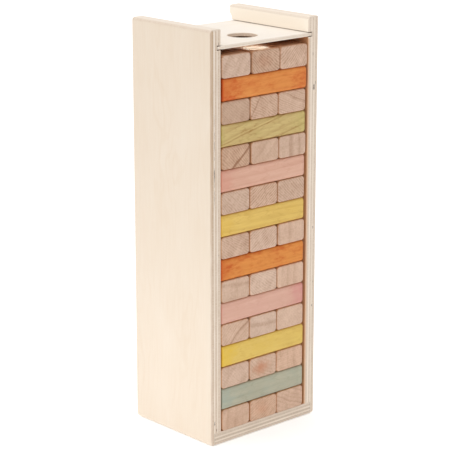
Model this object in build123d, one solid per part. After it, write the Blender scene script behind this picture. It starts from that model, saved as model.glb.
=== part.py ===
from build123d import *
import os

# A table-top tumbling-tower game put away in its plywood storage box.
# The box stands open at the front, and a thin lid slides in grooves near the top of its sides.
# Millimetres. X runs to the right, Y to the back, Z up.
# The origin is the centre of the footprint, on the face that the box stands on.

# ---- blocks ----
BLOCK_LENGTH = 74.9
BLOCK_WIDTH = 24.7
LAYER_PITCH = 15.0  # one layer of the stack
LAYER_PLAY = 0.05  # air between one layer and the next
BLOCK_HEIGHT = LAYER_PITCH - LAYER_PLAY
LONG_EDGE_ROUND = 2.4  # sanded long edges of a block
END_EDGE_ROUND = 1.1  # sanded edges of a block's two ends

# ---- box ----
SIDE_PLY = 9.0
THIN_PLY = 2.5
INNER_WIDTH = 78.0
BOX_DEPTH = 78.0
BOX_HEIGHT = 281.5
BOX_WIDTH = INNER_WIDTH + 2 * SIDE_PLY
HALF_INNER = INNER_WIDTH / 2
HALF_WIDTH = BOX_WIDTH / 2
FRONT = -BOX_DEPTH / 2
REAR = BOX_DEPTH / 2

RABBET_WIDTH = 6.0  # how far the bottom and the back are let into each side
LEDGE = HALF_INNER + RABBET_WIDTH
BACK_FRONT = REAR - THIN_PLY
BACK_TOP = 269.8  # the back stands behind the lower half of the lid and stops it
RABBET_TOP = 276.3
RABBET_CUTTER = 4.5  # radius that the cutter leaves at the top of the back rabbet

SOFT_TOP_ARRIS_ROUND = 2.8  # the left top arris of each side
CRISP_TOP_ARRIS_ROUND = 1.4  # the right top arris of each side
FOOT_ARRIS_ROUND = 3.0
UPRIGHT_ARRIS_ROUND = 0.6
TOP_CORNER_ROUND = 1.3
FRONT_FOOT_ROUND = 2.2
REAR_FOOT_ROUND = 3.5
THIN_EDGE_ROUND = 0.4
CUT_MARGIN = 1.0  # how far each cut runs past the wood

# ---- lid ----
LID_UNDERSIDE = 268.2
GROOVE_DEPTH = 3.5
PLAY_UNDER_LID = 0.3
PLAY_OVER_LID = 0.4
LID_SIDE_PLAY = 0.5
LID_END_PLAY = 0.1
FINGER_HOLE_RADIUS = 10.0
FINGER_HOLE_SETBACK = 22.4  # hole centre behind the box's front edges

# ---- how loosely the blocks lie ----
PROUD = (0.75, 0.57, 0.69, 0.63)  # block faces in front of the box's front edges, in turn
REAR_PLAY = 0.25

# Plain layers from the bottom up: play at the left side, then after the first and second block.
PLAIN_LAYER_PLAY = (
    (0.8, 0.6, 0.3),
    (0.3, 0.5, 0.5),
    (0.3, 0.5, 0.5),
    (0.3, 0.5, 0.6),
    (0.2, 0.6, 0.9),
    (0.3, 0.4, 0.6),
    (0.5, 1.2, 0.4),
    (0.3, 0.5, 0.6),
    (0.9, 1.3, 0.6),
)
# Stained layers from the bottom up: play at the left side.
STAINED_LAYER_PLAY = (0.6, 0.7, 0.2, 0.1, 0.1, 0.1, 0.4, 1.2)

OUT = "parts"


def slab(x_low, x_high, y_low, y_high, z_low, z_high):
    """A plain block of material between two corners."""
    size = (x_high - x_low, y_high - y_low, z_high - z_low)
    centre = ((x_high + x_low) / 2, (y_high + y_low) / 2, (z_high + z_low) / 2)
    return Pos(*centre) * Box(*size)


def side_outline():
    """The box's outline seen from the side, with its rounded corners, as a prism across the whole width."""
    outline = Plane.YZ * Pos(0, BOX_HEIGHT / 2) * Rectangle(BOX_DEPTH, BOX_HEIGHT)
    corners = outline.vertices()
    top = corners.sort_by(Axis.Z)[2:]
    front_foot, rear_foot = corners.sort_by(Axis.Z)[:2].sort_by(Axis.Y)
    outline = fillet(top, TOP_CORNER_ROUND)
    front_foot = outline.vertices().sort_by_distance(front_foot)[0]
    outline = fillet(front_foot, FRONT_FOOT_ROUND)
    rear_foot = outline.vertices().sort_by_distance(rear_foot)[0]
    outline = fillet(rear_foot, REAR_FOOT_ROUND)
    return extrude(outline, BOX_WIDTH / 2, both=True)


def back_rabbet(x_low, x_high):
    """The rabbet for the back, with the round end that the cutter leaves above it."""
    straight_top = RABBET_TOP - RABBET_CUTTER
    cutter_centre = BACK_FRONT + RABBET_CUTTER
    straight = slab(x_low, x_high, BACK_FRONT, REAR, SIDE_PLY, straight_top)
    round_end = Cylinder(RABBET_CUTTER, x_high - x_low, rotation=(0, 90, 0))
    round_end = Pos((x_low + x_high) / 2, cutter_centre, straight_top) * round_end
    return straight + round_end


def side_panel(inner_top_round, outer_top_round):
    """A side panel, as it stands on the right, with a lid groove and rabbets for the bottom and the back."""
    middle = HALF_INNER + SIDE_PLY / 2
    edge_view = Plane.XZ * Pos(middle, BOX_HEIGHT / 2) * Rectangle(SIDE_PLY, BOX_HEIGHT)
    by_height = edge_view.vertices().sort_by(Axis.Z)
    outer_foot = by_height[:2].sort_by(Axis.X)[-1]
    inner_top, outer_top = by_height[2:].sort_by(Axis.X)
    edge_view = fillet(inner_top, inner_top_round)
    outer_top = edge_view.vertices().sort_by_distance(outer_top)[0]
    edge_view = fillet(outer_top, outer_top_round)
    outer_foot = edge_view.vertices().sort_by_distance(outer_foot)[0]
    edge_view = fillet(outer_foot, FOOT_ARRIS_ROUND)
    plan_view = Pos(middle, 0) * RectangleRounded(SIDE_PLY, BOX_DEPTH, UPRIGHT_ARRIS_ROUND)

    panel = extrude(edge_view, BOX_DEPTH, both=True)
    panel = panel & extrude(plan_view, BOX_HEIGHT) & side_outline()
    groove_bottom = LID_UNDERSIDE - PLAY_UNDER_LID
    groove_top = LID_UNDERSIDE + THIN_PLY + PLAY_OVER_LID
    inside = HALF_INNER - CUT_MARGIN
    before = FRONT - CUT_MARGIN
    panel -= slab(inside, HALF_INNER + GROOVE_DEPTH, before, BACK_FRONT, groove_bottom, groove_top)
    panel -= slab(inside, LEDGE, before, REAR + CUT_MARGIN, -CUT_MARGIN, SIDE_PLY)
    panel -= back_rabbet(inside, LEDGE)
    return panel


def bottom():
    """The bottom panel, let into both sides and rounded at the foot with them."""
    panel = slab(-LEDGE, LEDGE, FRONT, REAR, 0, SIDE_PLY)
    front_top_edge = panel.edges().filter_by(Axis.X).group_by(Axis.Z)[-1].sort_by(Axis.Y)[0]
    panel = fillet(front_top_edge, UPRIGHT_ARRIS_ROUND)
    return panel & side_outline()


def back():
    """The thin back, in the rabbets of the sides and standing on the bottom."""
    panel = slab(-LEDGE, LEDGE, BACK_FRONT, REAR, SIDE_PLY, BACK_TOP)
    top_edges = panel.edges().filter_by(Axis.X).group_by(Axis.Z)[-1]
    return fillet(top_edges, THIN_EDGE_ROUND)


def lid():
    """The sliding lid, with a round finger hole near its front edge."""
    half = HALF_INNER + GROOVE_DEPTH - LID_SIDE_PLAY
    top = LID_UNDERSIDE + THIN_PLY
    panel = slab(-half, half, FRONT, BACK_FRONT - LID_END_PLAY, LID_UNDERSIDE, top)
    hole = Cylinder(FINGER_HOLE_RADIUS, THIN_PLY + 2 * CUT_MARGIN)
    panel -= Pos(0, FRONT + FINGER_HOLE_SETBACK, LID_UNDERSIDE + THIN_PLY / 2) * hole
    level_edges = panel.edges().group_by(Axis.Z)
    return fillet(level_edges[0] + level_edges[-1], THIN_EDGE_ROUND)


def block():
    """One block, lying along X, centred on its own middle."""
    section = Plane.YZ * RectangleRounded(BLOCK_WIDTH, BLOCK_HEIGHT, LONG_EDGE_ROUND)
    bar = extrude(section, BLOCK_LENGTH / 2, both=True)
    ends = bar.faces().sort_by(Axis.X)
    return fillet(ends[0].edges() + ends[-1].edges(), END_EDGE_ROUND)


def block_front(layer, place):
    """Where a block's front face stands: a little proud of the box, and not level with its neighbours."""
    return FRONT - PROUD[(layer + place) % len(PROUD)]


def plain_layer(layer, play):
    """Three blocks side by side, running front to back."""
    left_play, first_gap, second_gap = play
    height = SIDE_PLY + (layer - 1) * LAYER_PITCH + BLOCK_HEIGHT / 2
    starts = [-HALF_INNER + left_play]
    starts.append(starts[0] + BLOCK_WIDTH + first_gap)
    starts.append(starts[1] + BLOCK_WIDTH + second_gap)
    blocks = {}
    for place, (name, start) in enumerate(zip(("left", "middle", "right"), starts)):
        depth = block_front(layer, place) + BLOCK_LENGTH / 2
        centre = Pos(start + BLOCK_WIDTH / 2, depth, height)
        blocks[f"layer_{layer:02d}_{name}_block"] = centre * Rot(0, 0, 90) * block()
    return blocks


def stained_layer(layer, left_play):
    """Three stained blocks one behind the other, running from side to side."""
    height = SIDE_PLY + (layer - 1) * LAYER_PITCH + BLOCK_HEIGHT / 2
    across = -HALF_INNER + left_play + BLOCK_LENGTH / 2
    first = block_front(layer, 0) + BLOCK_WIDTH / 2
    last = BACK_FRONT - REAR_PLAY - BLOCK_WIDTH / 2
    blocks = {}
    for place, name in enumerate(("front", "middle", "rear")):
        depth = first + (last - first) * place / 2
        blocks[f"layer_{layer:02d}_{name}_block"] = Pos(across, depth, height) * block()
    return blocks


def tower():
    """The whole stack: plain and stained layers in turn, a plain one at the bottom and at the top."""
    blocks = {}
    for number, play in enumerate(PLAIN_LAYER_PLAY):
        blocks.update(plain_layer(2 * number + 1, play))
    for number, left_play in enumerate(STAINED_LAYER_PLAY):
        blocks.update(stained_layer(2 * number + 2, left_play))
    return blocks


pieces = {
    "left_side_panel": mirror(side_panel(CRISP_TOP_ARRIS_ROUND, SOFT_TOP_ARRIS_ROUND), Plane.YZ),
    "right_side_panel": side_panel(SOFT_TOP_ARRIS_ROUND, CRISP_TOP_ARRIS_ROUND),
    "bottom_panel": bottom(),
    "back_panel": back(),
    "sliding_lid": lid(),
}
pieces.update(tower())

os.makedirs(OUT, exist_ok=True)
for node, piece in pieces.items():
    export_step(piece, os.path.join(OUT, node + ".step"))
print(len(pieces), "pieces")
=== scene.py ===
"""A wooden tumbling-tower game in its storage box: materials, light and camera around the CAD model."""

import math

import bpy
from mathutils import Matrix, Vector


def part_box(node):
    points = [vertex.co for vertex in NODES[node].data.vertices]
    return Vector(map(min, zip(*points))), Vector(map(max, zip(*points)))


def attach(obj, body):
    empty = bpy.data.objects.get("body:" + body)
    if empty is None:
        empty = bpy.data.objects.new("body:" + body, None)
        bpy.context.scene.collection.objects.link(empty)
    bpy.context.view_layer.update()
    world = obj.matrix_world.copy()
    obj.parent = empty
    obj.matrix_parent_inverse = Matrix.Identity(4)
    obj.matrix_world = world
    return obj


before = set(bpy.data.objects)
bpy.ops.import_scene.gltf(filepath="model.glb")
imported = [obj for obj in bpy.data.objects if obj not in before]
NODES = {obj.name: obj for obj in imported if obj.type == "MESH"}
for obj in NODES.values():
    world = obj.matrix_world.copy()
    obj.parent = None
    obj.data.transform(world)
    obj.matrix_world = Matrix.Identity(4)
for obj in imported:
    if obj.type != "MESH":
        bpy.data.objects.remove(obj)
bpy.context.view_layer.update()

MM = 0.001
LID_LOW, LID_HIGH = (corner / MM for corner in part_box("sliding_lid"))
INNER_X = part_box("right_side_panel")[0].x / MM
BACK_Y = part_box("back_panel")[1].y / MM


# ---------------------------------------------------------------- colours

def linear(channel):
    """One screen colour channel, 0 to 255, as linear light."""
    share = channel / 255
    return share / 12.92 if share <= 0.04045 else ((share + 0.055) / 1.055) ** 2.4


def paint(red, green, blue, gain=1.0):
    """A screen colour as a linear colour with alpha, made lighter or darker by gain."""
    return tuple(linear(c) * gain for c in (red, green, blue)) + (1.0,)


# ---------------------------------------------------------------- writing shader nodes as arithmetic

class Value:
    """A number inside a shader. Arithmetic on it adds Math nodes."""

    def __init__(self, graph, socket):
        self.graph = graph
        self.socket = socket

    def math(self, operation, *others, clamp=False):
        return self.graph.math(operation, self, *others, clamp=clamp)

    def __add__(self, other):
        return self.math("ADD", other)

    def __sub__(self, other):
        return self.math("SUBTRACT", other)

    def __rsub__(self, other):
        return self.graph.math("SUBTRACT", other, self)

    def __mul__(self, other):
        return self.math("MULTIPLY", other)

    def __truediv__(self, other):
        return self.math("DIVIDE", other)

    __radd__ = __add__
    __rmul__ = __mul__

    def clamped(self):
        return self.math("ADD", 0.0, clamp=True)

    def swing(self, size):
        """A pattern from 0 to 1 as a swing of that size about nothing."""
        return (self - 0.5) * size


class Graph:
    """One shader tree, with short names for the nodes that the wood uses."""

    def __init__(self, tree):
        self.tree = tree
        self.links = tree.links

    def node(self, kind, **settings):
        made = self.tree.nodes.new(kind)
        for name, setting in settings.items():
            setattr(made, name, setting)
        return made

    def feed(self, socket, item):
        """Links a Value or a socket to an input, or sets it to a plain number, vector or colour."""
        if isinstance(item, Value):
            item = item.socket
        if isinstance(item, bpy.types.NodeSocket):
            self.links.new(item, socket)
        else:
            socket.default_value = item

    def math(self, operation, *items, clamp=False):
        made = self.node("ShaderNodeMath", operation=operation, use_clamp=clamp)
        for socket, item in zip(made.inputs, items):
            self.feed(socket, item)
        return Value(self, made.outputs[0])

    def split(self, vector):
        made = self.node("ShaderNodeSeparateXYZ")
        self.feed(made.inputs[0], vector)
        return [Value(self, out) for out in made.outputs]

    def vector(self, x, y, z):
        made = self.node("ShaderNodeCombineXYZ")
        for socket, item in zip(made.inputs, (x, y, z)):
            self.feed(socket, item)
        return made.outputs[0]

    def point(self):
        """The shaded point in the part's own frame, in millimetres, as x, y and z."""
        place = self.node("ShaderNodeTexCoord").outputs["Object"]
        scaled = self.node("ShaderNodeVectorMath", operation="SCALE")
        self.feed(scaled.inputs[0], place)
        scaled.inputs["Scale"].default_value = 1 / MM
        return self.split(scaled.outputs[0])

    def facing(self):
        """How squarely the surface faces along X, Y and Z, each from 0 to 1."""
        normal = self.node("ShaderNodeNewGeometry").outputs["Normal"]
        return [part.math("ABSOLUTE") for part in self.split(normal)]

    def noise(self, x, y, z, detail=2.0, roughness=0.5):
        made = self.node("ShaderNodeTexNoise")
        self.feed(made.inputs["Vector"], self.vector(x, y, z))
        made.inputs["Scale"].default_value = 1.0
        made.inputs["Detail"].default_value = detail
        made.inputs["Roughness"].default_value = roughness
        return Value(self, made.outputs["Fac"])

    def random(self, x, y=0.0):
        made = self.node("ShaderNodeTexWhiteNoise", noise_dimensions="2D")
        self.feed(made.inputs["Vector"], self.vector(x, y, 0.0))
        return Value(self, made.outputs["Value"])

    def ease(self, item, low, high):
        """0 below low, 1 above high, and smooth between them."""
        made = self.node("ShaderNodeMapRange", interpolation_type="SMOOTHSTEP")
        self.feed(made.inputs["Value"], item)
        self.feed(made.inputs["From Min"], low)
        self.feed(made.inputs["From Max"], high)
        return Value(self, made.outputs["Result"])

    def bump_line(self, item, centre, width):
        """1 where item is at centre, falling to 0 at width away on either side."""
        away = (item - centre).math("ABSOLUTE")
        return 1.0 - self.ease(away, 0.0, width)

    def mix(self, first, second, factor):
        made = self.node("ShaderNodeMix", data_type="RGBA", clamp_factor=True)
        self.feed(made.inputs["Factor"], factor)
        self.feed(made.inputs[6], first)
        self.feed(made.inputs[7], second)
        return made.outputs[2]

    def shade(self, colour, amount):
        """A colour made darker by amount, 0 to 1."""
        made = self.node("ShaderNodeVectorMath", operation="SCALE")
        self.feed(made.inputs[0], colour)
        self.feed(made.inputs["Scale"], (1.0 - amount).clamped())
        return made.outputs[0]


def new_group(name, inputs, outputs):
    """An empty shader group with the given sockets. Returns its Graph, its inputs and its output node."""
    tree = bpy.data.node_groups.new(name, "ShaderNodeTree")
    kinds = {float: "NodeSocketFloat", "colour": "NodeSocketColor", "vector": "NodeSocketVector"}
    for direction, sockets in (("INPUT", inputs), ("OUTPUT", outputs)):
        for socket, kind in sockets.items():
            tree.interface.new_socket(socket, in_out=direction, socket_type=kinds[kind])
    graph = Graph(tree)
    source = tree.nodes.new("NodeGroupInput")
    given = {}
    for socket, kind in inputs.items():
        out = source.outputs[socket]
        given[socket] = Value(graph, out) if kind is float else out
    return graph, given, tree.nodes.new("NodeGroupOutput")


WOOD_SHEEN = 0.25


def wood_material(name, group, settings, bump_mm):
    """A material whose colour, roughness and relief come from a wood group."""
    material = bpy.data.materials.new(name)
    material.use_nodes = True
    graph = Graph(material.node_tree)
    shader = material.node_tree.nodes["Principled BSDF"]
    wood = graph.node("ShaderNodeGroup", node_tree=group)
    for socket, setting in settings.items():
        wood.inputs[socket].default_value = setting
    bump = graph.node("ShaderNodeBump")
    bump.inputs["Distance"].default_value = bump_mm * MM
    graph.feed(bump.inputs["Height"], wood.outputs["Height"])
    graph.feed(shader.inputs["Base Color"], wood.outputs["Colour"])
    graph.feed(shader.inputs["Roughness"], wood.outputs["Roughness"])
    graph.feed(shader.inputs["Normal"], bump.outputs["Normal"])
    shader.inputs["Specular IOR Level"].default_value = WOOD_SHEEN
    return material


# ---------------------------------------------------------------- solid beech, for the blocks

# Lengths are in millimetres. In a noise, each coordinate is divided by the length of the pattern along it.
PITH_WANDER = 3.0
RAY_SPACING = 1.6
GRAIN_DRIFT = 3.0
KNOT_WARP = 3.0
KNOT_ARCS = ((5.0, 0.8), (2.6, 0.7))  # the radius and width of each dark arc
HEART_CENTRE = -2.0
HEART_WANDER = 7.0
HEART_EDGE = (10.5, 3.0)
END_STAIN_WANDER = 22.0
LEFT_END_STAIN = (24.0, 36.0)
RIGHT_END_STAIN = (20.0, 38.0)

# How far each feature takes the wood from its light colour to its dark one.
RING_TONE = 0.62
RAY_TONE = 0.55
KNOT_TONE = 0.8
DARK_RING_TONE = 0.9
PORE_TONE = 0.55
STREAK_TONE = 0.5
PATCH_TONE = 0.6
BEECH_BASE_TONE = 0.22
SOAKED_END = 0.45


def beech_group():
    """Solid wood. Growth rings are tubes round a pith that lies off to one side, and rays run out from it."""
    graph, given, result = new_group(
        "solid_beech",
        {
            "Centre": "vector",
            "Lengthwise": float,
            "Pith Across": float,
            "Pith Up": float,
            "Tilt Across": float,
            "Tilt Up": float,
            "Ring Spacing": float,
            "Rings": float,
            "Rays": float,
            "Dark Ring": float,
            "Dark Ring Place": float,
            "Dark Ring Width": float,
            "Heart": float,
            "Blotches": float,
            "Left End": float,
            "Right End": float,
            "Knot Along": float,
            "Knot": float,
            "Seed": float,
            "Light": "colour",
            "Dark": "colour",
            "Deep": "colour",
            "Side Tint And Gap Shade": "colour",
        },
        {"Colour": "colour", "Roughness": float, "Height": float},
    )
    seed = given["Seed"]
    x, y, z = graph.point()
    centre_x, centre_y, centre_z = graph.split(given["Centre"])
    x, y, up = x - centre_x, y - centre_y, z - centre_z
    facing_x, facing_y, _ = graph.facing()
    turned = given["Lengthwise"]
    along = x + (y - x) * turned
    across = y + (x - y) * turned
    end_face = facing_x + (facing_y - facing_x) * turned

    # The place of the pith, seen from this point, with a slow wander so that no ring is perfect.
    shift = seed * 7.31
    wander_u = graph.noise(along / 48 + shift, across / 13, up / 13) - 0.5
    wander_v = graph.noise(along / 48, across / 13 + shift, up / 13 + 9.0) - 0.5
    pith_u = given["Pith Across"]
    pith_v = given["Pith Up"]
    u = across - pith_u - given["Tilt Across"] * along + wander_u * PITH_WANDER
    v = up - pith_v - given["Tilt Up"] * along + wander_v * PITH_WANDER
    far = (pith_u * pith_u + pith_v * pith_v).math("SQRT")
    radius = (u * u + v * v).math("SQRT")
    depth = radius - far
    toward = (u * pith_u + v * pith_v) / far * -1.0
    aside = (v * pith_u - u * pith_v) / far
    arc = aside.math("ARCTAN2", toward) * far

    # Growth rings: a soft rise to a thin dark line at the end of each year's wood.
    phase = depth / given["Ring Spacing"] + seed + graph.noise(depth / 9 + shift, 0.0, 0.0) * 1.5
    year = phase.math("FLOOR")
    share = phase - year
    late = graph.ease(share, 0.35, 0.92) * (1.0 - graph.ease(share, 0.93, 1.0))
    year_strength = graph.random(year, seed) * 0.7 + 0.3
    rings = late * year_strength * given["Rings"]
    dark_ring = graph.bump_line(depth, given["Dark Ring Place"], given["Dark Ring Width"])
    dark_ring = dark_ring * given["Dark Ring"]

    # Rays: fine lines on the ends, short flecks on the flat-sawn sides.
    drift = graph.noise(across / 2.6 + shift, up / 2.6, along / 40) * GRAIN_DRIFT
    ray_noise = graph.noise(arc / 0.8 + shift, depth / 13, along / 3.4 + drift * 2.0, detail=1.0)
    flecks = graph.ease(ray_noise, 0.54, 0.68)
    ripple = graph.noise(arc / 5 + shift, depth / 7, 3.0) * 0.9
    lines = ((arc / RAY_SPACING + ripple) * (2 * math.pi)).math("SINE") * 0.5 + 0.5
    line_strength = graph.noise(arc / 2.4, depth / 4 + shift, 5.0, detail=1.0)
    end_lines = lines * (graph.ease(line_strength, 0.3, 0.65) * 0.75 + 0.25)
    rays = (flecks * (1.0 - end_face) * 0.75 + end_lines * end_face) * given["Rays"]

    # Pores, and the broad lighter and darker patches of any piece of wood.
    pores = graph.noise(along / 5 + drift * 2.0, across / 0.26, up / 0.26 + shift, detail=3.0, roughness=0.6)
    streaks = graph.noise(along / 34 + drift, across / 1.4, up / 1.4 + shift, detail=2.0)
    patches = graph.noise(along / 26 + across / 19, across / 10 + shift, up / 10 + along / 60, detail=2.0)

    # A small knot: the grain bends round it in dark arcs.
    from_knot = along - given["Knot Along"]
    knot_warp = graph.noise(along / 5 + shift, across / 5, up / 5) * KNOT_WARP
    knot_away = (from_knot * from_knot * 0.5 + up * up).math("SQRT") + knot_warp
    knot_arc = 0.0
    for arc_radius, arc_width in KNOT_ARCS:
        knot_arc = knot_arc + graph.bump_line(knot_away, arc_radius, arc_width)
    knot = knot_arc * graph.ease(line_strength, 0.3, 0.6) * given["Knot"]

    grain = rings * RING_TONE + rays * RAY_TONE + knot * KNOT_TONE + dark_ring * DARK_RING_TONE
    cloud = pores.swing(PORE_TONE) + streaks.swing(STREAK_TONE) + patches.swing(PATCH_TONE)
    tone = grain + cloud + BEECH_BASE_TONE
    colour = graph.mix(given["Light"], given["Dark"], tone.clamped())

    # Deeper colour: a warm heart, stain that soaked in unevenly, and ends that took more of it.
    off_heart = across - HEART_CENTRE
    heart_wander = graph.noise(across / 4 + shift, up / 4, along / 20, detail=3.0) * HEART_WANDER
    heart_away = (off_heart * off_heart * 0.4 + up * up).math("SQRT") + heart_wander
    heart_shape = graph.ease(heart_away, *HEART_EDGE)
    blotch_noise = graph.noise(along / 13 + shift, across / 8, up / 6, detail=4.0, roughness=0.62)
    blotches = graph.ease(blotch_noise, 0.46, 0.72) * given["Blotches"]
    edge_wander = blotch_noise.swing(END_STAIN_WANDER)
    left_end = graph.ease(-1.0 * along + edge_wander, *LEFT_END_STAIN) * given["Left End"]
    right_end = graph.ease(along + edge_wander, *RIGHT_END_STAIN) * given["Right End"]
    soaked = end_face * SOAKED_END * (1.0 - turned)
    deep = heart_shape * given["Heart"] + blotches + left_end + right_end + soaked
    colour = graph.mix(colour, given["Deep"], deep.clamped())

    # The faces that lie against other blocks are warmer and darker than those seen from the front: partly the
    # warmer long grain of beech, partly painted shade for the brown gaps between blocks.
    gap_shade_tint = graph.node("ShaderNodeVectorMath", operation="MULTIPLY")
    graph.feed(gap_shade_tint.inputs[0], colour)
    graph.feed(gap_shade_tint.inputs[1], given["Side Tint And Gap Shade"])
    colour = graph.mix(gap_shade_tint.outputs[0], colour, graph.ease(facing_y, 0.25, 0.85))

    graph.feed(result.inputs["Colour"], colour)
    graph.feed(result.inputs["Roughness"], pores * 0.25 + 0.5)
    graph.feed(result.inputs["Height"], 1.0 - (pores * 0.7 + rings * 0.35 + rays * 0.25))
    return graph.tree


# How each plain block's end looks from the front: where its pith lies (degrees, then mm away), how far
# apart its rings are in mm, how plain its rings and its rays show, and its lightness and its warmth in steps.
PLAIN_ENDS = {
    (17, "left"): (-32, 120, 8.0, 0.25, 0.35, 2, -1.5),
    (17, "middle"): (140, 90, 5.0, 0.15, 1.00, -2.5, 1),
    (17, "right"): (48, 45, 6.0, 0.15, 0.85, 2, -0.5),
    (15, "left"): (142, 110, 6.0, 0.15, 0.40, -5, 1),
    (15, "middle"): (-33, 120, 9.0, 0.15, 0.75, -0.5, 0.5),
    (15, "right"): (68, 110, 1.4, 0.55, 0.20, 0, 0),
    (13, "left"): (-47, 90, 9.0, 0.15, 0.80, -3.5, 2),
    (13, "middle"): (-45, 140, 11.0, 0.20, 0.15, -1.5, 0.5),
    (13, "right"): (2, 120, 9.5, 0.50, 0.10, 0, -0.5),
    (11, "left"): (140, 110, 7.0, 0.15, 0.55, 0.5, -1),
    (11, "middle"): (38, 130, 7.0, 0.10, 1.00, 0.5, 0.5),
    (11, "right"): (-45, 110, 7.0, 0.15, 0.70, 0.5, -0.5),
    (9, "left"): (146, 110, 7.0, 0.15, 0.65, -0.5, 0),
    (9, "middle"): (36, 120, 9.0, 0.10, 0.75, 2.5, -1),
    (9, "right"): (3, 120, 8.0, 0.30, 0.10, 1, 0),
    (7, "left"): (87, 110, 8.0, 0.20, 0.15, 0, -0.5),
    (7, "middle"): (144, 110, 8.0, 0.15, 0.55, 3, -1.5),
    (7, "right"): (-2, 120, 7.0, 0.30, 0.10, 1.5, 0),
    (5, "left"): (-50, 100, 1.9, 0.35, 0.15, 0.5, 0),
    (5, "middle"): (88, 120, 9.0, 0.20, 0.15, 1.5, -1.5),
    (5, "right"): (130, 130, 9.0, 0.15, 0.15, 2, -0.5),
    (3, "left"): (-42, 120, 9.0, 0.20, 0.25, 1, -1),
    (3, "middle"): (61, 40, 2.2, 0.40, 0.20, -0.5, 0),
    (3, "right"): (3, 120, 6.0, 0.30, 0.25, 1, 1),
    (1, "left"): (0, 120, 7.0, 0.35, 0.15, -0.5, 0.5),
    (1, "middle"): (28, 90, 8.0, 0.15, 0.55, -0.5, 1.5),
    (1, "right"): (65, 120, 3.0, 0.60, 0.15, 1, 0),
}
# Dark rings on the ends: how dark, how many mm from the middle towards the bark, and how wide in mm.
DARK_RINGS = {
    (17, "left"): (0.15, -2.5, 2.0),
    (15, "middle"): (0.40, 6.6, 0.9),
    (15, "right"): (0.30, -3.3, 1.4),
    (13, "left"): (1.0, -3.8, 1.4),
    (13, "middle"): (0.15, 3.0, 2.0),
    (7, "left"): (0.28, -2.5, 2.2),
    (5, "left"): (0.45, -1.8, 1.8),
    (5, "middle"): (0.32, -0.9, 2.2),
    (3, "left"): (0.15, 4.0, 2.0),
}
HEARTS = {(3, "middle"): 0.85, (1, "middle"): 0.30, (17, "middle"): 0.25}
LIGHT_STEP = 0.035
WARM_STEP = 0.03

BEECH_LIGHT = (214, 183, 160)
BEECH_DARK = (158, 118, 92)
BEECH_HEART = (192, 132, 100)
BEECH_GAIN = 1.07
# Tints for the faces that do not face the front: for plain beech partly its warmer long grain and partly
# painted shade of the gaps between blocks, for the stained blocks painted shade.
BEECH_SIDE_TINT_AND_GAP_SHADE = (0.96, 0.74, 0.52, 1.0)
TOP_LAYER_SIDE_TINT_AND_GAP_SHADE = (1.0, 0.88, 0.74, 1.0)
STAIN_GAP_SHADE_TINT = (0.90, 0.78, 0.66, 1.0)

# A dark ring along the side of a stained layer, as above, and a knot: where along the block, and how plain.
STAIN_DARK_RINGS = {14: (0.6, -2.5, 1.0)}
STAIN_KNOTS = {16: (33.0, 0.4)}
# The stained layers: light, dark and deep colours, then rings, ring spacing in mm, pith direction in degrees
# and distance in mm, tilt of the grain, blotches, and how far the left and right ends are deeper in colour.
STAINS = {
    16: ((221, 145, 74), (195, 104, 44), (195, 88, 34), 0.35, 4.0, 80, 90, 0.02, 0.60, 0.6, 0.25),
    14: ((205, 183, 124), (159, 120, 66), (180, 176, 98), 0.75, 5.5, 90, 90, 0.22, 0.15, 0.0, 0.25),
    12: ((217, 174, 152), (196, 144, 122), (204, 140, 122), 0.60, 5.0, 84, 120, 0.03, 0.15, 0.5, 0.0),
    10: ((223, 190, 105), (190, 149, 71), (218, 177, 73), 0.55, 5.0, 95, 120, -0.05, 0.15, 0.3, 0.0),
    8: ((218, 142, 68), (192, 105, 41), (192, 90, 32), 0.25, 4.5, 86, 120, 0.01, 0.80, 0.6, 0.0),
    6: ((215, 172, 153), (197, 147, 128), (203, 137, 130), 0.25, 5.0, 92, 120, 0.02, 0.10, 0.0, 0.75),
    4: ((220, 190, 103), (196, 156, 73), (219, 182, 65), 0.20, 6.0, 84, 140, 0.02, 0.20, 0.55, 0.0),
    2: ((180, 176, 154), (147, 146, 127), (153, 164, 152), 0.20, 6.0, 93, 120, 0.01, 0.30, 0.35, 0.0),
}
STAIN_GAIN = 1.07
NO_RING = (0.0, 0.0, 1.0)
TOP_LAYER = 17
PLACES_PLAIN = ("left", "middle", "right")
PLACES_STAINED = ("front", "middle", "rear")
ROW_TURN = 23  # degrees that the pith turns from one block of a stained layer to the next
STAINED_RAYS = 0.5
PLAIN_SEED_STEP = 0.37
STAINED_SEED_STEP = 0.29
PLAIN_TILT_ACROSS = 0.01
PLAIN_TILT_UP = 0.02
STAINED_TILT_ACROSS = 0.02
PLAIN_RELIEF = 0.10  # mm
STAINED_RELIEF = 0.08


def centre_mm(node):
    low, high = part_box(node)
    return (low + high) / 2 / MM


def tinted(colour, light_steps, warm_steps, gain):
    """A beech colour, some steps lighter and some steps warmer."""
    red, green, blue, _ = paint(*colour, gain=gain * (1 + LIGHT_STEP * light_steps))
    return (red * (1 + WARM_STEP * warm_steps), green, blue * (1 - WARM_STEP * warm_steps), 1.0)


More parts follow.
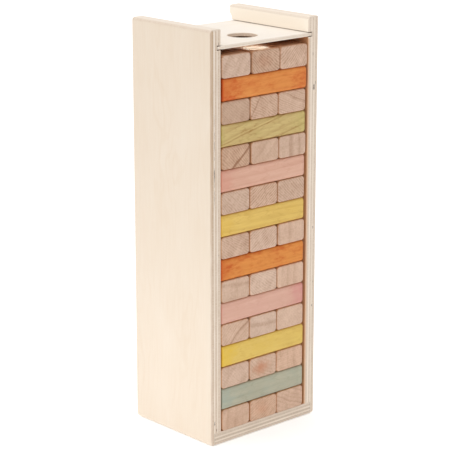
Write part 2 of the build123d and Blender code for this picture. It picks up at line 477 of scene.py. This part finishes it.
def plain_block_material(group, layer, place, node):
    angle, far, spacing, rings, rays, light, warm = PLAIN_ENDS[layer, place]
    dark_ring, dark_place, dark_width = DARK_RINGS.get((layer, place), NO_RING)
    direction = math.radians(angle)
    settings = {
        "Centre": centre_mm(node),
        "Lengthwise": 1.0,
        "Pith Across": far * math.cos(direction),
        "Pith Up": far * math.sin(direction),
        "Tilt Across": PLAIN_TILT_ACROSS * math.sin(layer),
        "Tilt Up": PLAIN_TILT_UP * math.cos(layer + far),
        "Ring Spacing": spacing,
        "Rings": rings,
        "Rays": rays,
        "Dark Ring": dark_ring,
        "Dark Ring Place": dark_place,
        "Dark Ring Width": dark_width,
        "Heart": HEARTS.get((layer, place), 0.0),
        "Knot Along": 0.0,
        "Knot": 0.0,
        "Side Tint And Gap Shade": TOP_LAYER_SIDE_TINT_AND_GAP_SHADE if layer == TOP_LAYER else BEECH_SIDE_TINT_AND_GAP_SHADE,
        "Seed": layer + PLAIN_SEED_STEP * PLACES_PLAIN.index(place),
        "Light": tinted(BEECH_LIGHT, light, warm, BEECH_GAIN),
        "Dark": tinted(BEECH_DARK, light, warm, BEECH_GAIN),
        "Deep": tinted(BEECH_HEART, light, warm, BEECH_GAIN),
    }
    return wood_material(node, group, settings, PLAIN_RELIEF)


def stained_block_material(group, layer, place, node):
    light, dark, deep, rings, spacing, angle, far, tilt, blotches, left_end, right_end = STAINS[layer]
    order = PLACES_STAINED.index(place)
    dark_ring, dark_place, dark_width = STAIN_DARK_RINGS.get(layer, NO_RING)
    knot_along, knot = STAIN_KNOTS.get(layer, (0.0, 0.0))
    direction = math.radians(angle + ROW_TURN * order)
    settings = {
        "Centre": centre_mm(node),
        "Lengthwise": 0.0,
        "Pith Across": far * math.cos(direction),
        "Pith Up": far * math.sin(direction),
        "Tilt Across": STAINED_TILT_ACROSS * math.sin(layer + order),
        "Tilt Up": tilt,
        "Ring Spacing": spacing,
        "Rings": rings,
        "Rays": STAINED_RAYS,
        "Dark Ring": dark_ring,
        "Dark Ring Place": dark_place,
        "Dark Ring Width": dark_width,
        "Heart": 0.0,
        "Knot Along": knot_along,
        "Knot": knot,
        "Side Tint And Gap Shade": STAIN_GAP_SHADE_TINT,
        "Blotches": blotches,
        "Left End": left_end,
        "Right End": right_end,
        "Seed": layer + STAINED_SEED_STEP * order,
        "Light": paint(*light, gain=STAIN_GAIN),
        "Dark": paint(*dark, gain=STAIN_GAIN),
        "Deep": paint(*deep, gain=STAIN_GAIN),
    }
    return wood_material(node, group, settings, STAINED_RELIEF)


def finish_blocks():
    """Gives every block its own piece of beech."""
    group = beech_group()
    for layer, place in PLAIN_ENDS:
        node = f"layer_{layer:02d}_{place}_block"
        set_material(node, plain_block_material(group, layer, place, node))
    for layer in STAINS:
        for place in PLACES_STAINED:
            node = f"layer_{layer:02d}_{place}_block"
            set_material(node, stained_block_material(group, layer, place, node))


def set_material(node, material):
    NODES[node].material_slots[0].material = material


# ---------------------------------------------------------------- birch plywood, for the box

# Lengths are in millimetres, and noises are written as for the beech.
PLY_WAVE = 0.14  # of a ply's thickness
VENEER_SHARE = 0.9 / 7  # how deep the face veneer reaches into a sheet
FIGURE_SPACING = 11
WARM_PLY_HEIGHTS = (60.0, 230.0)
FLAW_WARP = 1.8
SEAM_WIDTH = 0.45

# How far each feature takes a face from its light colour to its figured one.
FIGURE_TONE = 0.16
FLOW_TONE = 0.5
HAZE_TONE = 0.6
FLECK_TONE = 0.08
FACE_BASE_TONE = 0.25

# The same for the edges, from light to dark.
END_GRAIN_TONE = 0.45
VENEER_TONE = 0.32
PLY_TONE = 0.2
GLUE_TONE = 0.34
EDGE_FLOW_TONE = 0.7
SPECK_TONE = 0.5
WARM_PLY_TONE = 0.4
EDGE_BASE_TONE = 0.18
LEVEL_EDGE_FADE = 0.7  # edges that face up or down are this much plainer
GAP_SHADE = 0.55
SEAM_SHADE = 0.35


def plywood_group():
    """Plywood: plies of birch with the grain turned by a right angle from one to the next.
    The colour depends on the depth in the sheet and on whether a ply shows its end grain."""
    graph, given, result = new_group(
        "birch_plywood",
        {
            "Sheet Start": "vector",
            "Through": "vector",
            "Grain": "vector",
            "Cross": "vector",
            "Thickness": float,
            "Plies": float,
            "Mark 1": "vector",
            "Mark 1 Shape": "vector",
            "Mark 2": "vector",
            "Mark 2 Shape": "vector",
            "Mark 3": "vector",
            "Mark 3 Shape": "vector",
            "Seam Reach": float,
            "Warm Plies": float,
            "Edge Shade": float,
            "Split": "vector",
            "Seed": float,
            "Face": "colour",
            "Figure": "colour",
            "Inside": "colour",
            "Edge Light": "colour",
            "Edge Dark": "colour",
        },
        {"Colour": "colour", "Roughness": float, "Height": float},
    )
    seed = given["Seed"]
    shift = seed * 5.17

    def project(vector, direction):
        made = graph.node("ShaderNodeVectorMath", operation="DOT_PRODUCT")
        graph.feed(made.inputs[0], vector)
        graph.feed(made.inputs[1], direction)
        return Value(graph, made.outputs["Value"])

    x, y, z = graph.point()
    place = graph.vector(x, y, z)
    offset = graph.node("ShaderNodeVectorMath", operation="SUBTRACT")
    graph.feed(offset.inputs[0], place)
    graph.feed(offset.inputs[1], given["Sheet Start"])
    through = project(offset.outputs[0], given["Through"])
    grain = project(place, given["Grain"])
    cross = project(place, given["Cross"])
    normal = graph.node("ShaderNodeNewGeometry").outputs["Normal"]
    facing_through = project(normal, given["Through"]).math("ABSOLUTE")
    facing_grain = project(normal, given["Grain"]).math("ABSOLUTE")
    facing_cross = project(normal, given["Cross"]).math("ABSOLUTE")
    facing_z = graph.facing()[2]

    # Which ply this is: 0 is the first face veneer, and odd plies are crossbands.
    ply_wave = graph.noise(grain / 30 + shift, cross / 30, 1.0).swing(PLY_WAVE)
    ply_depth = through / given["Thickness"] * given["Plies"] + ply_wave
    ply = ply_depth.math("FLOOR")
    ply_share = ply_depth - ply
    crossband = (ply * 0.5 - (ply * 0.5).math("FLOOR")) * 2.0
    lengthwise = grain + (cross - grain) * crossband
    sidewise = cross + (grain - cross) * crossband
    end_grain = facing_grain + (facing_cross - facing_grain) * crossband

    # The face veneer: long faint streaks, and broad rotary-cut figure.
    figure_warp = graph.noise(grain / 70 + shift, cross / 22, 2.0, detail=2.0)
    figure_wave = (cross / FIGURE_SPACING + figure_warp * 6.5) * (2 * math.pi)
    figure = graph.ease(figure_wave.math("SINE"), 0.25, 1.0)
    figure_fade = graph.ease(graph.noise(grain / 55 + 3.0, cross / 26 + shift, 4.0), 0.42, 0.68)
    flow = graph.noise(grain / 26 + shift, cross / 1.7, 0.0, detail=3.0, roughness=0.6)
    haze = graph.noise(grain / 60, cross / 30 + shift, 6.0, detail=3.0)
    flecks = graph.ease(graph.noise(grain / 2.6, cross / 0.34 + shift, 7.0), 0.66, 0.78)
    face_tone = figure * figure_fade * FIGURE_TONE + flow.swing(FLOW_TONE) + haze.swing(HAZE_TONE)
    face_tone = face_tone + flecks * FLECK_TONE + FACE_BASE_TONE
    face_colour = graph.mix(given["Face"], given["Figure"], face_tone.clamped())

    # The edges: long-grain plies are pale, crossbands are darker end grain, and glue lines are thin.
    ply_tint = graph.random(ply, seed).swing(PLY_TONE)
    edge_flow = graph.noise(lengthwise / 18 + shift, sidewise / 0.8, ply * 3.7, detail=3.0)
    edge_speck = graph.noise(sidewise / 0.35, lengthwise / 0.35 + shift, through / 0.3, detail=2.0)
    glue = 1.0 - graph.ease(ply_share.math("PINGPONG", 0.5), 0.03, 0.14)
    glue_patch = graph.ease(graph.noise(grain / 14 + shift, ply * 5.3, cross / 14), 0.35, 0.65)
    veneer = (ply_depth / given["Plies"] - 0.5).math("ABSOLUTE").math("GREATER_THAN", 0.5 - VENEER_SHARE)
    warm_plies = 1.0 - graph.ease(ply_depth - given["Warm Plies"], -0.1, 0.1)
    warm_plies = warm_plies * (graph.ease(z, *WARM_PLY_HEIGHTS) * 0.85 + 0.15)
    edge_tone = end_grain * END_GRAIN_TONE + veneer * facing_cross * VENEER_TONE + ply_tint
    edge_tone = edge_tone + glue * glue_patch * GLUE_TONE + warm_plies * WARM_PLY_TONE
    edge_tone = edge_tone + edge_flow.swing(EDGE_FLOW_TONE) + edge_speck.swing(SPECK_TONE) * end_grain
    edge_tone = (edge_tone + EDGE_BASE_TONE) * (1.0 - facing_z * LEVEL_EDGE_FADE)
    edge_colour = graph.mix(given["Edge Light"], given["Edge Dark"], edge_tone.clamped())
    gap_noise = graph.noise(grain / 5 + shift, ply * 9.1, cross / 5 + 2.0)
    gaps = graph.ease(gap_noise, 0.70, 0.76) * graph.bump_line(ply_share, 0.5, 0.32) * end_grain
    edge_colour = graph.shade(edge_colour, gaps * GAP_SHADE)

    # Small dark flaws where a ply has a knot or a gap, a fine split, and the seam at the ends of the sheet.
    flaw_warp = graph.noise(x / 1.2 + shift, y / 1.2, z / 1.2).swing(FLAW_WARP)
    flaws = 0.0
    for mark in MARKS:
        mark_x, mark_y, mark_z = graph.split(given[mark])
        narrow, low, strength = graph.split(given[mark + " Shape"])
        off_x, off_y, off_z = (x - mark_x + flaw_warp) * narrow, y - mark_y, (z - mark_z) * low
        away = (off_x * off_x + off_y * off_y + off_z * off_z).math("SQRT")
        flaws = flaws + (1.0 - graph.ease(away, 0.2, 0.9)) * strength
    split_depth, split_low, split_high = graph.split(given["Split"])
    split_fade = graph.ease(graph.noise(z / 6 + shift, 0.0, 8.0), 0.36, 0.60)
    split_run = graph.ease(z - split_low, 0.0, 12.0) * (1.0 - graph.ease(z - split_high, -12.0, 0.0))
    split = graph.bump_line(ply_depth, split_depth, 0.3) * split_fade * split_run
    reach = x.math("ABSOLUTE")
    seam = graph.bump_line(reach, given["Seam Reach"], SEAM_WIDTH)
    edge_colour = graph.mix(edge_colour, paint(*FLAW_BROWN), flaws * 0.75 + split * 0.6)
    edge_colour = graph.shade(edge_colour, seam * SEAM_SHADE)

    # Inside the box, below the lid, the faces and the lid's underside get a warm brown painted shade, but not
    # on the outside of the back. The groove walls get a dark brown painted shade, and the sides' inner faces
    # above the lid are the palest.
    underside, top = LID_LOW.z, LID_HIGH.z
    within_sides = 1.0 - graph.ease(reach, INNER_X + 0.3, INNER_X + 1.3)
    inside_shade = within_sides * (1.0 - graph.ease(z, underside + 0.1, underside + 1.1)) * graph.ease(z, 3.0, 6.0)
    not_outside_back = 1.0 - graph.ease(y, BACK_Y - 1.5, BACK_Y - 0.5)
    face_colour = graph.mix(face_colour, given["Inside"], inside_shade * not_outside_back)
    above_lid = (1.0 - graph.ease(reach, INNER_X + 3.0, INNER_X + 4.0)) * graph.ease(z, top + 0.2, top + 0.8)
    face_colour = graph.mix(face_colour, paint(*PALEST_VENEER), above_lid)
    # Painted shade: below the lid, the innermost ply of a side's front edge, where the blocks shade it, takes
    # the inside brown.
    edge_shade = 1.0 - graph.ease(reach, INNER_X + 0.2, INNER_X + 2.0)
    edge_shade = edge_shade * (1.0 - graph.ease(z, underside - 2.2, underside - 0.2))
    edge_colour = graph.mix(edge_colour, given["Inside"], edge_shade * given["Edge Shade"])
    # Painted shade: the groove walls that face up or down are darkened to brown, where the lid's play leaves
    # dark gaps.
    groove_shade = graph.ease(z, underside - 1.2, underside - 0.6) * (1.0 - graph.ease(z, top + 0.9, top + 1.5))
    groove_shade = groove_shade * graph.bump_line(reach, INNER_X + 1.8, 3.0)
    edge_colour = graph.mix(edge_colour, paint(*GROOVE_SHADE_BROWN), (groove_shade * facing_z * 3.0).clamped())

    on_face = graph.ease(facing_through, 0.88, 0.985)
    colour = graph.mix(edge_colour, face_colour, on_face)
    fibre = graph.noise(lengthwise / 7 + shift, sidewise / 0.3, through / 0.3, detail=3.0)
    graph.feed(result.inputs["Colour"], colour)
    graph.feed(result.inputs["Roughness"], fibre * 0.2 + 0.48)
    graph.feed(result.inputs["Height"], fibre * 0.6 - gaps * 1.5 - glue * (1.0 - on_face) * 0.3)
    return graph.tree


AXES = {"X": Vector((1, 0, 0)), "Y": Vector((0, 1, 0)), "Z": Vector((0, 0, 1))}
SIDE_PLIES = 7
THIN_PLIES = 3
VENEER = (229, 215, 198)
VENEER_FIGURE = (219, 198, 173)
# the warm brown of the painted shade inside the box and under the lid
INSIDE_SHADE_BROWN = (218, 168, 124)
# the dark brown of the painted shade in the lid's grooves
GROOVE_SHADE_BROWN = (120, 84, 60)
FLAW_BROWN = (78, 62, 52)
EDGE_LIGHT = (244, 230, 214)
EDGE_DARK = (202, 180, 158)
EDGES = {
    "left_side_panel": ((243, 231, 217), (195, 167, 139)),
    "sliding_lid": ((243, 231, 216), (218, 199, 178)),
    "bottom_panel": ((237, 223, 207), (190, 168, 146)),
}
PALE_VENEER = (248, 240, 230)
PALE_FIGURE = (238, 223, 205)
PALEST_VENEER = (255, 244, 228)
FACES = {"sliding_lid": (PALE_VENEER, PALE_FIGURE)}
NOWHERE = (0.0, 0.0, -1000.0)
NO_FLAWS = ((NOWHERE, (1.0, 1.0, 0.0)),) * 3
MARKS = ("Mark 1", "Mark 2", "Mark 3")
# Each flaw: where it is in mm, then how narrow, how low and how dark it is.
FLAWS = {
    "left_side_panel": (
        ((-44.8, -39, 186), (1.6, 0.13, 0.55)),
        ((-44.7, -39, 16), (1.7, 0.4, 1)),
        ((-43.2, -39, 11), (1.7, 0.68, 1)),
    ),
    "right_side_panel": (
        ((44.6, -39, 233.5), (0.8, 0.32, 1)),
        ((45.2, -39, 136), (1.7, 0.68, 1)),
        ((45.2, -39, 80), (1.7, 0.68, 1)),
    ),
}
SEAM_REACH = {"bottom_panel": 44.9}
NO_SEAM = -10.0
WARM_PLIES = {"left_side_panel": 1.7}  # how many plies, counted from the outside
NO_WARM_PLIES = -1.0
# how strongly the innermost ply of each side's front edge takes painted shade
SHADED_EDGES = {"right_side_panel": 0.65}
SPLITS = {"left_side_panel": (2.6, 160.0, 232.0)}  # its depth in plies, and its lowest and highest point
PLY_RELIEF = 0.05
PLY_SEED_STEP = 1.37

# node: the axis through the sheet, the axis of the face grain, the axis across it, and the number of plies.
SHEETS = {
    "left_side_panel": ("X", "Z", "Y", SIDE_PLIES),
    "right_side_panel": ("X", "Z", "Y", SIDE_PLIES),
    "bottom_panel": ("Z", "X", "Y", SIDE_PLIES),
    "back_panel": ("Y", "Z", "X", THIN_PLIES),
    "sliding_lid": ("Z", "X", "Y", THIN_PLIES),
}


def finish_box():
    """Gives each sheet of the box its plywood."""
    group = plywood_group()
    for number, (node, (through, grain, cross, plies)) in enumerate(SHEETS.items()):
        low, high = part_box(node)
        face, figure = FACES.get(node, (VENEER, VENEER_FIGURE))
        edge_light, edge_dark = EDGES.get(node, (EDGE_LIGHT, EDGE_DARK))
        settings = {
            "Sheet Start": low / MM,
            "Through": AXES[through],
            "Grain": AXES[grain],
            "Cross": AXES[cross],
            "Thickness": (high - low).dot(AXES[through]) / MM,
            "Plies": plies,
            "Seam Reach": SEAM_REACH.get(node, NO_SEAM),
            "Warm Plies": WARM_PLIES.get(node, NO_WARM_PLIES),
            "Edge Shade": SHADED_EDGES.get(node, 0.0),
            "Split": SPLITS.get(node, NOWHERE),
            "Seed": 1.0 + number * PLY_SEED_STEP,
            "Face": paint(*face),
            "Figure": paint(*figure),
            "Inside": paint(*INSIDE_SHADE_BROWN),
            "Edge Light": paint(*edge_light),
            "Edge Dark": paint(*edge_dark),
        }
        for mark, (spot, shape) in zip(MARKS, FLAWS.get(node, NO_FLAWS)):
            settings[mark] = spot
            settings[mark + " Shape"] = shape
        set_material(node, wood_material(node, group, settings, PLY_RELIEF))


# ---------------------------------------------------------------- floor, light and camera

FLOOR_SIZE = 6.0
FLOOR_ALBEDO = 0.93
FLOOR_ROUGHNESS = 0.9
FLOOR_SHEEN = 0.1
FLOOR_LIFT = 0.28
FOOT_ROUND = 2.2  # mm
CREVICE = 2.2


def make_floor():
    """A plain, nearly white floor, bright enough to run into the white background.
    The extra brightness fades out under the box's rounded foot, so that a thin contact shadow stays."""
    bpy.ops.mesh.primitive_plane_add(size=FLOOR_SIZE)
    floor = bpy.context.active_object
    floor.name = "floor"
    material = bpy.data.materials.new("floor_paint")
    material.use_nodes = True
    shader = material.node_tree.nodes["Principled BSDF"]
    graph = Graph(material.node_tree)
    x, y, _ = graph.point()
    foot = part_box("bottom_panel")[1] / MM
    outside_x = (x.math("ABSOLUTE") - foot.x).math("MAXIMUM", 0.0)
    outside_y = (y.math("ABSOLUTE") - (foot.y - FOOT_ROUND)).math("MAXIMUM", 0.0)
    away = (outside_x * outside_x + outside_y * outside_y).math("SQRT")
    shader.inputs["Base Color"].default_value = (FLOOR_ALBEDO, FLOOR_ALBEDO, FLOOR_ALBEDO, 1.0)
    shader.inputs["Roughness"].default_value = FLOOR_ROUGHNESS
    shader.inputs["Specular IOR Level"].default_value = FLOOR_SHEEN
    shader.inputs["Emission Color"].default_value = (1.0, 1.0, 1.0, 1.0)
    graph.feed(shader.inputs["Emission Strength"], graph.ease(away, 0.0, CREVICE) * FLOOR_LIFT)
    floor.data.materials.append(material)


SKY_TOP = 1.15
SKY_LEFT = 0.72
SKY_FRONT_RIGHT = 0.36
SKY_TURN = (-0.35, 0.75)
SKY_RISE = (0.15, 0.85)


def make_sky():
    """A white studio: white to the camera, brightest overhead, and dimmer towards the front and right."""
    world = bpy.data.worlds.new("studio")
    bpy.context.scene.world = world
    world.use_nodes = True
    graph = Graph(world.node_tree)
    background = world.node_tree.nodes["Background"]
    place = graph.node("ShaderNodeTexCoord").outputs["Generated"]
    x, y, z = graph.split(place)
    turn = graph.ease(x * 0.75 - y * 0.65, *SKY_TURN)
    horizon = turn * (SKY_FRONT_RIGHT - SKY_LEFT) + SKY_LEFT
    strength = horizon + graph.ease(z, *SKY_RISE) * (SKY_TOP - horizon)
    to_camera = Value(graph, graph.node("ShaderNodeLightPath").outputs["Is Camera Ray"])
    strength = strength + (1.0 - strength) * to_camera
    background.inputs["Color"].default_value = (1.0, 1.0, 1.0, 1.0)
    graph.feed(background.inputs["Strength"], strength)


# Softboxes: location, aim, width and height in metres, watts, and colour.
SOFTBOXES = {
    "key_light": ((-0.8, 0.5, 1.6), (0, 0, 0.14), 1.2, 1.2, 3.5, (1.0, 1.0, 1.0)),
    "low_fill": ((-0.20, 0, 0.02), (-0.04, 0, 0.03), 0.3, 0.06, 0.07, (0.9, 0.95, 1.0)),
}


def add_softbox(name, location, aim, width, height, watts, colour):
    """A rectangular lamp that lights the part and stays out of the picture itself."""
    data = bpy.data.lights.new(name, "AREA")
    data.shape = "RECTANGLE"
    data.size = width
    data.size_y = height
    data.energy = watts
    data.color = colour
    lamp = bpy.data.objects.new(name, data)
    lamp.location = location
    lamp.rotation_euler = (Vector(aim) - Vector(location)).to_track_quat("-Z", "Y").to_euler()
    lamp.visible_camera = False
    bpy.context.scene.collection.objects.link(lamp)


HOLE_SETBACK = 22.4  # mm from the lid's front edge to the middle of its finger hole
FINGER_HOLE = Vector((0.0, LID_LOW.y + HOLE_SETBACK, (LID_LOW.z + LID_HIGH.z) / 2)) * MM
THROUGH_HOLE_FROM = Vector((0.007, 0.170, 0.3425))
THROUGH_HOLE_WATTS = 46.0
THROUGH_HOLE_COLOUR = (0.44, 0.74, 1.0)
THROUGH_HOLE_ANGLE = 10
THROUGH_HOLE_BLEND = 0.6
THROUGH_HOLE_LAMP_RADIUS = 0.03


def add_light_through_hole():
    """Daylight from behind, through the lid's finger hole on to the top blocks. The lamp rides on the lid."""
    data = bpy.data.lights.new("through_hole", "SPOT")
    data.energy = THROUGH_HOLE_WATTS
    data.color = THROUGH_HOLE_COLOUR
    data.spot_size = math.radians(THROUGH_HOLE_ANGLE)
    data.spot_blend = THROUGH_HOLE_BLEND
    data.shadow_soft_size = THROUGH_HOLE_LAMP_RADIUS
    lamp = bpy.data.objects.new("through_hole", data)
    lamp.location = THROUGH_HOLE_FROM
    lamp.rotation_euler = (FINGER_HOLE - THROUGH_HOLE_FROM).to_track_quat("-Z", "Y").to_euler()
    lamp.visible_camera = False
    lamp.visible_glossy = False
    bpy.context.scene.collection.objects.link(lamp)
    top_blocks = bpy.data.collections.new("top_blocks")
    for place in PLACES_PLAIN:
        top_blocks.objects.link(NODES[f"layer_{TOP_LAYER}_{place}_block"])
    lamp.light_linking.receiver_collection = top_blocks
    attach(lamp, "lid")


def add_lights():
    for name, softbox in SOFTBOXES.items():
        add_softbox(name, *softbox)
    add_light_through_hole()


CAMERA_AIM = Vector((-0.0165, -0.0189, 0.1441))
CAMERA_YAW = 42.09
CAMERA_PITCH = 15.19
CAMERA_DISTANCE = 1.2
CAMERA_LENS = 142.87
SENSOR_WIDTH = 36.0
CLIP_NEAR = 0.05
CLIP_FAR = 20.0


def make_camera():
    """The photograph's viewing angle: from the front left, a little above."""
    yaw = math.radians(CAMERA_YAW)
    pitch = math.radians(CAMERA_PITCH)
    forward = Vector((
        math.sin(yaw) * math.cos(pitch),
        math.cos(yaw) * math.cos(pitch),
        -math.sin(pitch),
    ))
    data = bpy.data.cameras.new("camera")
    data.sensor_width = SENSOR_WIDTH
    data.lens = CAMERA_LENS
    data.clip_start = CLIP_NEAR
    data.clip_end = CLIP_FAR
    camera = bpy.data.objects.new("camera", data)
    camera.location = CAMERA_AIM - forward * CAMERA_DISTANCE
    camera.rotation_euler = forward.to_track_quat("-Z", "Y").to_euler()
    bpy.context.scene.collection.objects.link(camera)
    bpy.context.scene.camera = camera


finish_blocks()
finish_box()
make_floor()
make_sky()
add_lights()
make_camera()
bpy.context.scene.view_settings.view_transform = "Standard"
